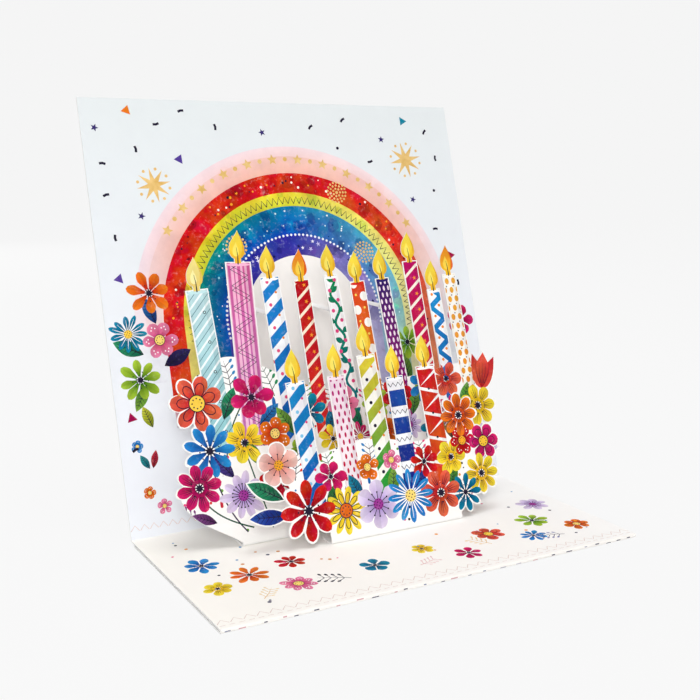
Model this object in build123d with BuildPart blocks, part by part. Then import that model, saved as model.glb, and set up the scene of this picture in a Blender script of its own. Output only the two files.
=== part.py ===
from build123d import *

import os
from math import cos, pi, radians, sin, tan

# Pop-up greeting card standing open, in millimetres.
# X runs to the right, Y to the back and Z up. The origin is the middle of the face it rests on.

# Cover: a square back panel and a base half as deep, whose front half is folded under it
card_side = 133.35
base_depth = card_side / 2
lean_back = 17.0
cover_thickness = 0.45
tuck_gap = 0.3
flap_setback = 2.0

# Sheets of the pop-up
layer_thickness = 0.35
link_thickness = 0.25
fold_radius = 0.3

# Feet of the two layers, measured from the main fold to the printed face of each layer
rear_depth = 20.0
layer_gap = 11.0
front_depth = rear_depth + layer_gap
rear_foot_tab = 7.0
front_foot_tab = 6.0
foot_join = 3.0
foot_clear = 1.2
bank_bottom = 8.0
rear_foot_width = 80.0
rear_foot_x = 0.0
front_foot_width = 46.0
front_foot_x = 6.0

# Links: folded strips that keep the layers parallel to the back panel
rear_link_height = 66.0
rear_link_width = 3.6
rear_link_places = (("rear_link_left", -20.0), ("rear_link_middle", 1.0), ("rear_link_right", 19.4))
front_link_height = 17.0
front_link_width = 12.0
front_link_places = (("front_link_left", -14.0), ("front_link_right", 22.0))
link_tab = 4.0

# Candles, each as place of the foot, height of the top, lean and width
rear_candles = (
    (-42.0, 75.5, 3.0, 7.0),
    (-31.6, 83.0, -2.0, 8.2),
    (-19.0, 78.0, 2.0, 6.4),
    (-9.2, 76.5, 1.0, 5.2),
    (2.5, 77.5, 3.0, 4.8),
    (10.9, 75.0, 2.0, 5.4),
    (20.9, 75.5, 3.0, 5.0),
    (31.3, 80.5, 1.5, 5.6),
    (39.0, 70.8, 2.0, 5.0),
    (46.3, 75.5, 2.5, 5.2),
)
front_candles = (
    (-20.4, 48.3, 3.0, 6.2),
    (-7.5, 48.7, 1.5, 6.0),
    (4.2, 54.0, 2.5, 6.4),
    (12.4, 46.5, 1.5, 6.0),
    (24.4, 48.8, 2.5, 6.8),
)
flame_width = 5.0
flame_height = 8.8
flame_tip_shift = 0.7
wick_width = 2.2
wick_height = 0.8

# How far a wick runs into its candle and its flame, and a candle into its bank
wick_overlap = 0.5
candle_root = 4.0

# Flowers on the cut edge of each layer, as place, height, radius, number of petals and turn
rear_bank_left = -40.0
rear_bank_right = 45.0
rear_bank_top = 40.0
rear_flowers = (
    (-48.5, 42.5, 8.6, 7, 20.0),
    (-46.5, 28.5, 8.4, 9, 0.0),
    (-51.0, 18.5, 7.4, 8, 8.0),
    (48.5, 31.0, 7.4, 7, 0.0),
    (48.0, 19.0, 7.0, 10, 12.0),
    (42.0, 10.0, 7.4, 6, 0.0),
)
front_bank_left = -27.0
front_bank_right = 36.0
front_bank_top = 25.0
front_flowers = (
    (-23.0, 10.8, 9.4, 8, 0.0),
    (-11.0, 9.0, 7.6, 11, 9.0),
    (0.0, 9.2, 7.8, 6, 30.0),
    (11.5, 10.0, 8.6, 12, 0.0),
    (22.5, 9.2, 7.8, 7, 12.0),
    (31.5, 8.0, 6.4, 9, 0.0),
    (38.5, 13.0, 6.8, 8, 0.0),
    (41.0, 22.8, 6.2, 6, 0.0),
    (33.0, 32.0, 7.2, 8, 0.0),
    (-30.5, 25.0, 6.8, 5, 18.0),
)

# Tulips and leaves, as place, height and turn from upright
tulip_width = 9.5
tulip_height = 13.0
rear_tulips = ((51.0, 36.0, -12.0),)
leaf_length = 13.0
leaf_width = 5.0
front_leaves = (
    (-29.0, 10.5, 86.0),
    (-30.0, 15.0, 60.0),
)

# Smooth edges of the paper behind the flowers, and the corners that close each piece of it
rear_lower_edge = ((-40.0, 1.2), (-47.5, 6.0), (-54.5, 11.5), (-57.0, 16.5))
rear_lower_corners = ((-51.0, 20.0), (-38.0, 20.0), (-38.0, 1.2))
rear_upper_edge = ((-46.0, 49.0), (-39.0, 55.0), (-28.0, 52.0), (-12.0, 44.0), (12.0, 42.0), (45.0, 46.0))
rear_upper_corners = ((45.0, 28.0), (-40.0, 28.0))
front_upper_edge = ((-31.0, 30.0), (-14.0, 27.0), (-2.0, 29.0), (16.0, 26.0), (33.0, 36.0))
front_upper_corners = ((36.0, 14.0), (-27.0, 14.0))

# Paper left between the flowers, as corners on the sheet
rear_webs = (
    ((-48.5, 42.5), (-46.5, 28.5), (-51.0, 18.5), (-38.0, 8.0), (-38.0, 44.0)),
    ((43.0, 8.0), (48.0, 19.0), (50.5, 40.0), (43.0, 44.0)),
)
front_webs = (
    ((30.0, 8.0), (38.5, 13.0), (41.0, 22.8), (34.0, 32.0), (28.0, 26.0)),
    ((-23.0, 10.8), (-25.0, 26.0), (-30.5, 25.0)),
)

# Lines of the folded cover
lean = radians(lean_back)
base_top = 2 * cover_thickness + tuck_gap
fold_y = base_depth / 2
front_y = -base_depth / 2
layer_run = layer_thickness / cos(lean)


def up_the_sheet(y, height):
    """Point at a height up a leaning sheet that meets the top of the base at y."""
    return (y + height * sin(lean), base_top + height * cos(lean))


def sheet_plane(depth):
    """Plane of a layer's printed face, with x to the right and y up the sheet."""
    return Plane(
        origin=(0, fold_y - depth, base_top),
        x_dir=(1, 0, 0),
        z_dir=(0, -cos(lean), sin(lean)),
    )


def cut_candle(x, top, turn, width, foot):
    """Candle with its wick and flame, standing on a line at the height of its foot."""
    with Locations(Pos(x, foot) * Rot(0, 0, turn)):
        Rectangle(width, top - foot, align=(Align.CENTER, Align.MIN))
    with Locations(Pos(x, foot) * Rot(0, 0, turn) * Pos(0, top - foot)):
        Rectangle(wick_width, 2 * (wick_height + wick_overlap), align=(Align.CENTER, Align.CENTER))
    with Locations(Pos(x, foot) * Rot(0, 0, turn) * Pos(0, top - foot + wick_height)):
        add(flame.sketch)


def cut_flower(x, height, radius, petals, turn):
    """Flower with equal petals set round a round middle."""
    petal_middle = 0.62 * radius
    petal_length = 2 * (radius - petal_middle)
    petal_width = min(2 * petal_middle * tan(pi / petals) * 0.96, petal_length * 1.1)
    with Locations((x, height)):
        Circle(0.55 * radius)
        with PolarLocations(petal_middle, petals, start_angle=turn):
            Ellipse(petal_length / 2, petal_width / 2)


def cut_bank(edge, corners):
    """Piece of paper with one smooth edge, closed by straight cuts through the corners."""
    with BuildLine() as outline:
        Spline(*edge)
        Polyline(edge[-1], *corners, edge[0])
    make_face(outline.edges())


def draw_foot(y, tab):
    """Section of a layer's fold and of the foot glued down behind it."""
    with BuildLine() as section:
        FilletPolyline(
            up_the_sheet(y, foot_join),
            (y, base_top),
            (y + tab, base_top),
            radius=fold_radius + layer_thickness,
        )
        offset(amount=layer_thickness, side=Side.LEFT)
    make_face(section.edges())


def draw_link(back_y, front_y, height):
    """Section of a strip bridging two leaning sheets, with a glued tab bent down at each end."""
    with BuildLine() as section:
        FilletPolyline(
            up_the_sheet(back_y, height - link_tab),
            up_the_sheet(back_y, height),
            up_the_sheet(front_y, height),
            up_the_sheet(front_y, height - link_tab),
            radius=fold_radius + link_thickness,
        )
        offset(amount=link_thickness, side=Side.LEFT)
    make_face(section.edges())


# Outlines used more than once
with BuildSketch() as flame:
    with BuildLine():
        belly = flame_width / 2
        ThreePointArc((-belly, belly), (0, 0), (belly, belly))
        Bezier(
            (belly, belly),
            (belly, 0.62 * flame_height),
            (flame_tip_shift + 0.5, 0.78 * flame_height),
            (flame_tip_shift, flame_height),
        )
        Bezier(
            (flame_tip_shift, flame_height),
            (flame_tip_shift - 0.7, 0.80 * flame_height),
            (-belly, 0.66 * flame_height),
            (-belly, belly),
        )
    make_face()

with BuildSketch() as tulip:
    with BuildLine():
        half = tulip_width / 2
        Bezier((0, 0), (0.8 * half, 0), (1.15 * half, 0.45 * tulip_height), (half, 0.92 * tulip_height))
        Polyline(
            (half, 0.92 * tulip_height),
            (0.48 * half, 0.74 * tulip_height),
            (0, tulip_height),
            (-0.48 * half, 0.74 * tulip_height),
            (-half, 0.92 * tulip_height),
        )
        Bezier((-half, 0.92 * tulip_height), (-1.15 * half, 0.45 * tulip_height), (-0.8 * half, 0), (0, 0))
    make_face()

with BuildSketch() as leaf:
    with BuildLine():
        ThreePointArc((0, 0), (leaf_width / 2, 0.45 * leaf_length), (0, leaf_length))
        ThreePointArc((0, leaf_length), (-leaf_width / 2, 0.45 * leaf_length), (0, 0))
    make_face()


# Cover, drawn along the printed face: back panel, main fold, base, front fold and tucked flap
with BuildPart() as card_cover:
    with BuildSketch(Plane.YZ):
        with BuildLine():
            FilletPolyline(
                up_the_sheet(fold_y, card_side),
                (fold_y, base_top),
                (front_y + base_top / 2, base_top),
                radius=fold_radius,
            )
            ThreePointArc(
                (front_y + base_top / 2, base_top),
                (front_y, base_top / 2),
                (front_y + base_top / 2, 0),
            )
            Line((front_y + base_top / 2, 0), (fold_y - flap_setback, 0))
            offset(amount=cover_thickness, side=Side.LEFT)
        make_face()
    extrude(amount=card_side / 2, both=True)

# Rear layer: tall candles in a bank of flowers that is widest on the left
with BuildPart() as rear_candle_layer:
    with BuildSketch(sheet_plane(rear_depth)):
        with Locations((rear_foot_x, foot_clear)):
            Rectangle(rear_foot_width, bank_bottom, align=(Align.CENTER, Align.MIN))
        with Locations((rear_bank_left, bank_bottom)):
            Rectangle(
                rear_bank_right - rear_bank_left,
                rear_bank_top - bank_bottom,
                align=(Align.MIN, Align.MIN),
            )
        cut_bank(rear_lower_edge, rear_lower_corners)
        cut_bank(rear_upper_edge, rear_upper_corners)
        for corners in rear_webs:
            Polygon(*corners, align=None)
        for x, top, turn, width in rear_candles:
            cut_candle(x, top, turn, width, rear_bank_top - candle_root)
        for x, height, radius, petals, turn in rear_flowers:
            cut_flower(x, height, radius, petals, turn)
        for x, height, turn in rear_tulips:
            with Locations(Pos(x, height) * Rot(0, 0, turn)):
                add(tulip.sketch)
    extrude(amount=-layer_thickness)
    with BuildSketch(Plane.YZ.offset(rear_foot_x)):
        draw_foot(fold_y - rear_depth, rear_foot_tab)
    extrude(amount=rear_foot_width / 2, both=True)

# Front layer: short candles standing in a bank of flowers
with BuildPart() as front_candle_layer:
    with BuildSketch(sheet_plane(front_depth)):
        with Locations((front_foot_x, foot_clear)):
            Rectangle(front_foot_width, bank_bottom, align=(Align.CENTER, Align.MIN))
        with Locations((front_bank_left, bank_bottom)):
            Rectangle(
                front_bank_right - front_bank_left,
                front_bank_top - bank_bottom,
                align=(Align.MIN, Align.MIN),
            )
        cut_bank(front_upper_edge, front_upper_corners)
        for corners in front_webs:
            Polygon(*corners, align=None)
        for x, top, turn, width in front_candles:
            cut_candle(x, top, turn, width, front_bank_top - candle_root)
        for x, height, radius, petals, turn in front_flowers:
            cut_flower(x, height, radius, petals, turn)
        for x, height, turn in front_leaves:
            with Locations(Pos(x, height) * Rot(0, 0, turn)):
                add(leaf.sketch)
    extrude(amount=-layer_thickness)
    with BuildSketch(Plane.YZ.offset(front_foot_x)):
        draw_foot(fold_y - front_depth, front_foot_tab)
    extrude(amount=front_foot_width / 2, both=True)

card_cover.part.label = "card_cover"
rear_candle_layer.part.label = "rear_candle_layer"
front_candle_layer.part.label = "front_candle_layer"

os.makedirs("parts", exist_ok=True)
export_step(card_cover.part, "parts/card_cover.step")
export_step(rear_candle_layer.part, "parts/rear_candle_layer.step")
export_step(front_candle_layer.part, "parts/front_candle_layer.step")

# Rear links: from the back panel to the backs of three tall candles
for link_name, link_x in rear_link_places:
    with BuildPart() as rear_link:
        with BuildSketch(Plane.YZ.offset(link_x)):
            draw_link(fold_y, fold_y - rear_depth + layer_run, rear_link_height)
        extrude(amount=rear_link_width / 2, both=True)
    rear_link.part.label = link_name
    export_step(rear_link.part, f"parts/{link_name}.step")

# Front links: from the rear layer to the back of the front flower bank
for link_name, link_x in front_link_places:
    with BuildPart() as front_link:
        with BuildSketch(Plane.YZ.offset(link_x)):
            draw_link(fold_y - rear_depth, fold_y - front_depth + layer_run, front_link_height)
        extrude(amount=front_link_width / 2, both=True)
    front_link.part.label = link_name
    export_step(front_link.part, f"parts/{link_name}.step")
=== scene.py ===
import math
import random

import bpy
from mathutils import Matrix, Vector
from mathutils.geometry import delaunay_2d_cdt


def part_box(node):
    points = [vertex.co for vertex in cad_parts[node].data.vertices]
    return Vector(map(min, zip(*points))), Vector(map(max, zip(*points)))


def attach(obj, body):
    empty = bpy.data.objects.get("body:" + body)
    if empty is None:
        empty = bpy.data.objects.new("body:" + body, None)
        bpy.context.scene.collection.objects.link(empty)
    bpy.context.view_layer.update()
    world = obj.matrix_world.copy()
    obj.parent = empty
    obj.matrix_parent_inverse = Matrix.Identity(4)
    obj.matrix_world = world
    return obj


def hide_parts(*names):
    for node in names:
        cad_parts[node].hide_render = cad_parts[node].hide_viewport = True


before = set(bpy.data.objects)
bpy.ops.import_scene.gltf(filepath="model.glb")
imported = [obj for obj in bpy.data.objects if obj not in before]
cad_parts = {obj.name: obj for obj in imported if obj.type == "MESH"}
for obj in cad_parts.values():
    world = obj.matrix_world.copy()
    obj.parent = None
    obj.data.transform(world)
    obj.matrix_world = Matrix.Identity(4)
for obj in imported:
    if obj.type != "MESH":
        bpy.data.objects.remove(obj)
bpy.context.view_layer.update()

# Sizes of the card in millimetres: X is to the right, Y to the back and Z up
MM = 0.001
CARD_SIDE = 133.35
HALF = CARD_SIDE / 2
LEAN = math.radians(17.0)
FOLD_Y = CARD_SIDE / 4
FRONT_Y = -CARD_SIDE / 4
BASE_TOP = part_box("front_candle_layer")[0].z / MM
FOLD_R = BASE_TOP / 2
REAR_DEPTH = 20.0
FRONT_DEPTH = 31.0

# Candles: height of the foot on the sheet, and how far below it the print starts, under the flowers
REAR_FOOT = 36.0
REAR_LOW = -8.0
FRONT_FOOT = 21.0
FRONT_LOW = -9.0
WICK = 0.8
# Width and height of a flame, and how far its tip leans
FLAME = (5.0, 8.8, 0.7)
# White rim between a cut edge and the print
MARGIN = 0.28
# Share of its length at which a petal is widest
PETAL_BELLY = 0.62

# Rainbow: height of its centre, and the share of its colours before its round part and along it
ARCH_V = 61.0
ROUND_START = 0.12
ROUND_SHARE = 0.76
# Leg that would run through all the colours, and height over which a band fades in at its foot
LEG_RUN = 60.0
FOOT_FADE = 9.0

# Plain colours
INK = "#241f33"
PAPER = "#fcfbf8"
PANEL = "#f1f4fa"
WHITE = "#ffffff"
ROSE = "#e2487f"
AMBER = "#f2a12c"
ORANGE = "#f08a2c"
SKY = "#2f86c1"
BLUE = "#1f6fb4"
JADE = "#0f7f6c"
LIME = "#6aa63a"
STEM = "#1f4f3a"
PLUM = "#3d2a4d"
SCARLET = "#d5382c"
CRIMSON = "#c9283a"
SLATE = "#4b4a63"
SAND = "#e2c08a"
STITCH = "#e0cdc6"
EDGE = "#fbf8f3"

# Flowers: the colour at the middle, at the ends of the petals and of the heart
INKS = {
    "coral": ("#d02c24", "#f06a4c", "#ffd64f"),
    "magenta": ("#a30a4a", "#e0226f", "#ffcf3f"),
    "pink": ("#d83f7d", "#f58fb2", "#ffe07a"),
    "yellow": ("#f6c41c", "#ffea3e", "#e0641e"),
    "orange": ("#d83c0c", "#f7851f", "#ffe07a"),
    "teal": ("#07567a", "#128eb0", "#ffd24a"),
    "blue": ("#1758ac", "#2c98e0", "#ffe07a"),
    "lilac": ("#b79ad8", "#ede0f7", "#a03a96"),
    "green": ("#4d8a16", "#b4d83f", "#f7c843"),
    "red": ("#a00812", "#e01c22", "#ffb52e"),
    "blush": ("#ea8a80", "#fbd2c6", "#f3a52d"),
}
# Middle of a flower of each style, where it isn't a disc of dots
HEARTS = {"daisy": "star", "veined": "star", "double": "ring", "dotted": "ring"}
# Leaves: the colours at the foot and at the tip
LEAVES = {
    "fern": ("#0f5a44", "#2f9a68"),
    "grass": ("#1f6a35", "#8abf3f"),
    "moss": ("#1f6a35", "#6fae3a"),
    "forest": ("#16452c", "#3f8a3f"),
    "olive": ("#7a8a1a", "#d4d83a"),
    "sea": ("#0f4f74", "#1f8fb0"),
    "lagoon": ("#0f5a6c", "#2f9aa0"),
    "sky": ("#14508c", "#2f8fcc"),
    "denim": ("#12306c", "#2f6fb4"),
    "navy": ("#14206c", "#2f55b4"),
    "night": ("#1a1438", "#3a2f6c"),
    "violet": ("#2a1f5c", "#5a4ba0"),
    "plum": ("#4a2452", "#8a4a8c"),
    "grape": ("#5a1a6c", "#9a3a94"),
    "rust": ("#8a1020", "#d0323a"),
    "bark": ("#5c3a1f", "#a8763a"),
}
# Flames: the colours at the foot, at the tip, of the lit side and of the heart
YELLOW_FIRE = ("#f1bd2c", "#fae04a", "#eab52e", "#fbe768")
PALE_FIRE = ("#eed272", "#f8e68c", "#ecc95c", "#faeea6")
ORANGE_FIRE = ("#f6c02c", "#f0912a", "#e0641d", "#f8d24e")


# Colours and washes
def linear(code):
    """Linear colour of a six-digit hex code."""
    parts = [int(code[i:i + 2], 16) / 255 for i in (1, 3, 5)]
    return [p / 12.92 if p <= 0.04045 else ((p + 0.055) / 1.055) ** 2.4 for p in parts]


def mix(first, second, share):
    return [p + (q - p) * share for p, q in zip(first, second)]


def share_of(value, low, high):
    """How far a value has come from low to high, held between 0 and 1."""
    return min(max((value - low) / (high - low), 0.0), 1.0)


def along(stops, share):
    """Colour at a share of the way through a row of evenly spaced colours."""
    t = share_of(share, 0.0, 1.0) * (len(stops) - 1)
    i = min(int(t), len(stops) - 2)
    return mix(linear(stops[i]), linear(stops[i + 1]), t - i)


def line_wash(first, second, start, end):
    """Ink that runs from one colour to another along a line."""
    dx, dy = end[0] - start[0], end[1] - start[1]
    square = dx * dx + dy * dy
    return lambda x, y: along((first, second), ((x - start[0]) * dx + (y - start[1]) * dy) / square)


def round_wash(first, second, x0, y0, inner, outer):
    """Ink that runs from one colour to another outwards from a centre."""
    return lambda x, y: along((first, second), (math.hypot(x - x0, y - y0) - inner) / (outer - inner))


def arch_wash(inner_inks, outer_inks, inner, outer, foot):
    """Ink of a band of the rainbow, which runs from its left foot to its right one and fades at both."""

    def ink(x, y):
        rise = max(y - ARCH_V, 0.0)
        drop = max(ARCH_V - y, 0.0) / LEG_RUN
        turn = ROUND_START + ROUND_SHARE * (1 - math.atan2(rise, x) / math.pi) - (drop if x < 0 else -drop)
        across = share_of(math.hypot(x, rise), inner, outer)
        colour = mix(along(inner_inks, turn), along(outer_inks, turn), across)
        return mix(linear(PANEL), colour, share_of(y, foot, foot + FOOT_FADE))

    return ink


def ink_at(ink, x, y):
    """Colour of a plain ink or of a wash at a place."""
    return linear(ink) if isinstance(ink, str) else ink(x, y)


# Outlines
def turned(points, x, y, turn):
    """Points turned by an angle in degrees about the origin and moved to a place."""
    c, s = math.cos(math.radians(turn)), math.sin(math.radians(turn))
    return [(x + u * c - v * s, y + u * s + v * c) for u, v in points]


def placer(x, y, turn):
    """Function that turns a list of points and moves it to a place."""
    return lambda points: turned(points, x, y, turn)


def polar(x, y, radius, degrees):
    """Point at a distance and in a direction from a place."""
    return turned([(radius, 0.0)], x, y, degrees)[0]


def ellipse(x, y, a, b, turn=0.0, n=24):
    ring = [(a * math.cos(2 * math.pi * i / n), b * math.sin(2 * math.pi * i / n)) for i in range(n)]
    return turned(ring, x, y, turn)


def dot(x, y, radius, n=8):
    return ellipse(x, y, radius, radius, n=n)


def strip(left, right, low, high):
    """Upright rectangle between two sides and two heights."""
    return [(left, low), (right, low), (right, high), (left, high)]


def slant(half, low, rise, thick):
    """Band across a candle that climbs from its left side to its right one."""
    return [(-half, low), (half, low + rise), (half, low + rise + thick), (-half, low + thick)]


def star(x, y, radius, inner, points, turn=0.0):
    ring = []
    for i in range(2 * points):
        r = radius if i % 2 == 0 else inner
        a = math.pi * i / points
        ring.append((r * math.cos(a), r * math.sin(a)))
    return turned(ring, x, y, turn)


def stroke(points, width, taper=False):
    """Outline of a pen line through the points. A tapered line thins out towards its end."""
    left, right = [], []
    last = len(points) - 1
    for i, (x, y) in enumerate(points):
        ax, ay = points[max(i - 1, 0)]
        bx, by = points[min(i + 1, last)]
        length = math.hypot(bx - ax, by - ay) or 1.0
        nx, ny = -(by - ay) / length, (bx - ax) / length
        half = width / 2 * (1 - 0.8 * i / last if taper else 1.0)
        left.append((x + nx * half, y + ny * half))
        right.append((x - nx * half, y - ny * half))
    return left + right[::-1]


def bezier(a, b, c, d, n=8):
    """Points of a curve, without its last one."""
    out = []
    for i in range(n):
        t = i / n
        k = ((1 - t) ** 3, 3 * t * (1 - t) ** 2, 3 * t * t * (1 - t), t ** 3)
        out.append(tuple(k[0] * a[j] + k[1] * b[j] + k[2] * c[j] + k[3] * d[j] for j in (0, 1)))
    return out


def petal(x, y, turn, radius, half_width, margin, narrow):
    """Petal from the flower's middle that ends short of the cut edge."""
    belly = PETAL_BELLY * radius
    end = radius - margin
    swell = 1.3 if narrow else 0.9
    side = []
    for i in range(1, 6):
        t = i / 5
        side.append((belly * (0.1 + 0.9 * t), half_width * (0.16 + 0.84 * t ** swell)))
    for i in range(1, 6):
        t = i / 6
        side.append((belly + (end - belly) * t, half_width * math.sqrt(1 - t * t)))
    outline = side + [(end, 0.0)] + [(u, -w) for u, w in reversed(side)]
    return turned(outline, x, y, turn)


def leaf_shape(length, width, n=8):
    right = [(width / 2 * math.sin(math.pi * i / n) ** 0.9, length * i / n) for i in range(1, n)]
    return [(0.0, 0.0)] + right + [(0.0, length)] + [(-u, v) for u, v in reversed(right)]


def flame_shape(width, height, shift):
    belly = width / 2
    turns = [math.pi * (1 + i / 10) for i in range(10)]
    arc = [(belly * math.cos(a), belly + belly * math.sin(a)) for a in turns]
    tip = (shift, height)
    rise = bezier((belly, belly), (belly, 0.62 * height), (shift + 0.5, 0.78 * height), tip)
    fall = bezier(tip, (shift - 0.7, 0.8 * height), (-belly, 0.66 * height), (-belly, belly))
    return arc + rise + fall


def loop_area(loop):
    return sum(a[0] * b[1] - b[0] * a[1] for a, b in zip(loop, loop[1:] + loop[:1])) / 2


# Print
class Sheet:
    """Ink on a flat face of paper. A later shape covers an earlier one, and a clip keeps it inside one."""

    def __init__(self):
        self.shapes = []

    def add(self, points, ink, wash=0.0, clip=None, foil=False, tint=None):
        if loop_area(points) < 0:
            points = points[::-1]
        shape = {"points": points, "ink": ink, "wash": wash, "clip": clip, "foil": foil, "tint": tint}
        self.shapes.append(shape)
        return len(self.shapes) - 1

    def pen(self, points, width, ink=INK, clip=None, taper=False):
        """Adds a line of even ink, which may thin out towards its end."""
        self.add(stroke(points, width, taper), ink, clip=clip)

    def shade(self, points, clip, tint):
        """Darkens or lightens what an earlier shape prints, in all three colours or in each by itself."""
        if isinstance(tint, float):
            tint = (tint, tint, tint)
        self.add(points, None, clip=clip, tint=tint)


def draw_each(draw, sheet, table, *rest):
    """Draws every row of a table on a sheet."""
    for row in table:
        draw(sheet, *row, *rest)


def strew(sheet, seed, count, across, up, sizes, inks):
    """Small dots of random places, inks and sizes."""
    draws = random.Random(seed)
    for _ in range(count):
        x, v = draws.uniform(*across), draws.uniform(*up)
        ink = draws.choice(inks)
        sheet.add(dot(x, v, draws.uniform(*sizes)), ink, 0.2)


def draw_border(sheet, count, pitch, first, half, low, high, width, ink):
    """Row of small pen peaks along an edge of the card."""
    for k in range(count):
        x = -HALF + pitch * (k + first)
        sheet.pen([(x - half, low), (x, high), (x + half, low)], width, ink)


def draw_heart(sheet, x, y, radius, kind, ink, turn):
    """Middle of a flower: an inked star, a ringed disc or a disc of dots."""

    def ring_of_dots(ring, count, first, size):
        for i in range(count):
            spot = polar(x, y, ring * radius, first + 360 * i / count)
            sheet.add(dot(*spot, size * radius, 6), INK)

    if kind == "star":
        sheet.add(star(x, y, 0.26 * radius, 0.11 * radius, 9, turn), INK)
        ring_of_dots(0.36, 9, turn + 20, 0.03)
    elif kind == "ring":
        sheet.add(dot(x, y, 0.3 * radius, 20), INK)
        sheet.add(dot(x, y, 0.265 * radius, 20), ink, 0.5)
        ring_of_dots(0.17, 8, 0, 0.03)
    else:
        sheet.add(dot(x, y, 0.22 * radius, 18), ink, 0.6)
        ring_of_dots(0.08, 4, 20, 0.026)
        ring_of_dots(0.18, 9, 20, 0.026)


def draw_petal_marks(sheet, x, y, turn, radius, half, style, leaf):
    """Pen marks on one petal: an inner line, veins, dots or a ray."""
    at = placer(x, y, turn)
    if style == "double":
        inset = petal(x, y, turn, 0.72 * radius, 0.62 * half, 0.0, False)
        sheet.pen(inset + inset[:1], 0.032 * radius)
    elif style == "veined":
        for side, end in ((-0.42, 0.72), (0.0, 0.84), (0.42, 0.72)):
            rib = at([(0.34 * radius, 0.5 * side * half), (end * radius, side * half)])
            sheet.pen(rib, 0.032 * radius, clip=leaf, taper=True)
    elif style == "dotted":
        for u, w in ((0.78, 0.0), (0.66, 0.35), (0.66, -0.35)):
            spot = at([(u * radius, w * half)])[0]
            sheet.add(dot(*spot, 0.04 * radius), WHITE)
    elif style == "rays":
        ray = at([(0.2 * radius, 0.0), (0.8 * radius, 0.0)])
        sheet.pen(ray, 0.045 * radius, WHITE, taper=True)


def draw_flower(sheet, x, y, radius, petals, turn, inks, style, margin=0.0):
    """Flower whose petals vary a little, as if drawn by hand.

    The style sets the petals' width, their marks and the heart. A flower with a margin is cut out of the
    paper, and its petals stay inside the cut edge.
    """
    inner, outer, heart = INKS[inks]
    belly = PETAL_BELLY * radius
    width = min(2 * belly * math.tan(math.pi / petals) * 0.96, 2.2 * (radius - belly))
    narrow = style in ("daisy", "rays")
    half = (width / 2 - 0.4 * margin) * (0.9 if narrow else 1.0)
    wash = round_wash(inner, outer, x, y, 0.2 * radius, 0.9 * radius)
    seed = round(10 * x) * 10007 + round(10 * y)
    hand = random.Random(seed)
    for i in range(petals):
        angle = turn + 360 * i / petals
        if margin:
            reach = radius * hand.uniform(0.95, 1.0)
            wide = half * hand.uniform(0.88, 1.0)
        else:
            angle += hand.uniform(-5.0, 5.0)
            reach = radius * hand.uniform(0.86, 1.05)
            wide = half * hand.uniform(0.82, 1.02)
        leaf = sheet.add(petal(x, y, angle, reach, wide, margin, narrow), wash, 0.9)
        sheet.shade(turned(strip(0.0, reach, -wide, 0.0), x, y, angle), leaf, 0.86)
        draw_petal_marks(sheet, x, y, angle, reach, wide, style, leaf)
    if style == "stamens":
        for i in range(2 * petals):
            angle = turn + 180 * i / petals
            line = [polar(x, y, 0.1 * radius, angle), polar(x, y, 0.46 * radius, angle)]
            sheet.pen(line, 0.03 * radius)
            sheet.add(dot(*line[1], 0.036 * radius, 7), INK)
    draw_heart(sheet, x, y, radius, HEARTS.get(style, "dots"), heart, turn)


def draw_leaf(sheet, x, y, length, width, turn, tone):
    """Leaf with a dark half, a rib and veins."""
    at = placer(x, y, turn)
    wash = line_wash(*LEAVES[tone], *at([(0, 0), (0, length)]))
    body = sheet.add(at(leaf_shape(length, width)), wash, 0.9)
    sheet.shade(at(strip(0, width, 0, length)), body, 0.78)
    sheet.pen(at([(0, 0.02 * length), (0, 0.92 * length)]), 0.08 * width, taper=True)
    for i in range(2, 7):
        v = length * i / 8
        for side in (-1, 1):
            vein = at([(0, v), (side * 0.42 * width, v + 0.13 * length)])
            sheet.pen(vein, 0.05 * width, clip=body, taper=True)


def draw_tulip(sheet, x, y, width, height, turn, first, second):
    """Cup of a tulip with a petal in front and ribs, between two colours that the petal turns round."""
    at = placer(x, y, turn)
    foot, tip = at([(0, 0), (0, height)])
    half = width / 2
    right = bezier((0, 0), (0.8 * half, 0), (1.15 * half, 0.45 * height), (half, 0.92 * height))
    crown = [(half, 0.92 * height), (0.48 * half, 0.74 * height), (0, height), (-0.48 * half, 0.74 * height)]
    left = bezier((-half, 0.92 * height), (-1.15 * half, 0.45 * height), (-0.8 * half, 0), (0, 0))
    cup = sheet.add(at(right + crown + left), line_wash(second, first, foot, tip), 0.9)
    sheet.add(at(leaf_shape(height, 0.62 * width)), line_wash(first, second, foot, tip), 0.9, clip=cup)
    for u in (-0.62, -0.3, 0.0, 0.3, 0.62):
        rib = [(0.35 * u * half, 0.14 * height), (0.9 * u * half, 0.44 * height), (u * half, 0.7 * height)]
        sheet.pen(at(rib), 0.24, clip=cup, taper=True)


def draw_sprig(sheet, x, y, length, turn, ink, berries):
    """Sprig of four pairs of twigs, each with a berry."""
    at = placer(x, y, turn)
    sheet.pen(at([(0, 0), (0.04 * length, 0.5 * length), (0, length)]), 0.3, ink, taper=True)
    for i in range(1, 5):
        v = length * i / 5
        for side in (-1, 1):
            twig = at([(0, v), (side * 0.24 * length, v + 0.16 * length)])
            sheet.pen(twig, 0.22, ink)
            sheet.add(ellipse(*twig[1], 0.08 * length, 0.045 * length, turn + side * 40, 10), berries, 0.4)


def draw_stem(sheet, a, b, c, d, ink):
    sheet.add(stroke(bezier(a, b, c, d, 12) + [d], 0.42), ink, 0.1)


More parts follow.
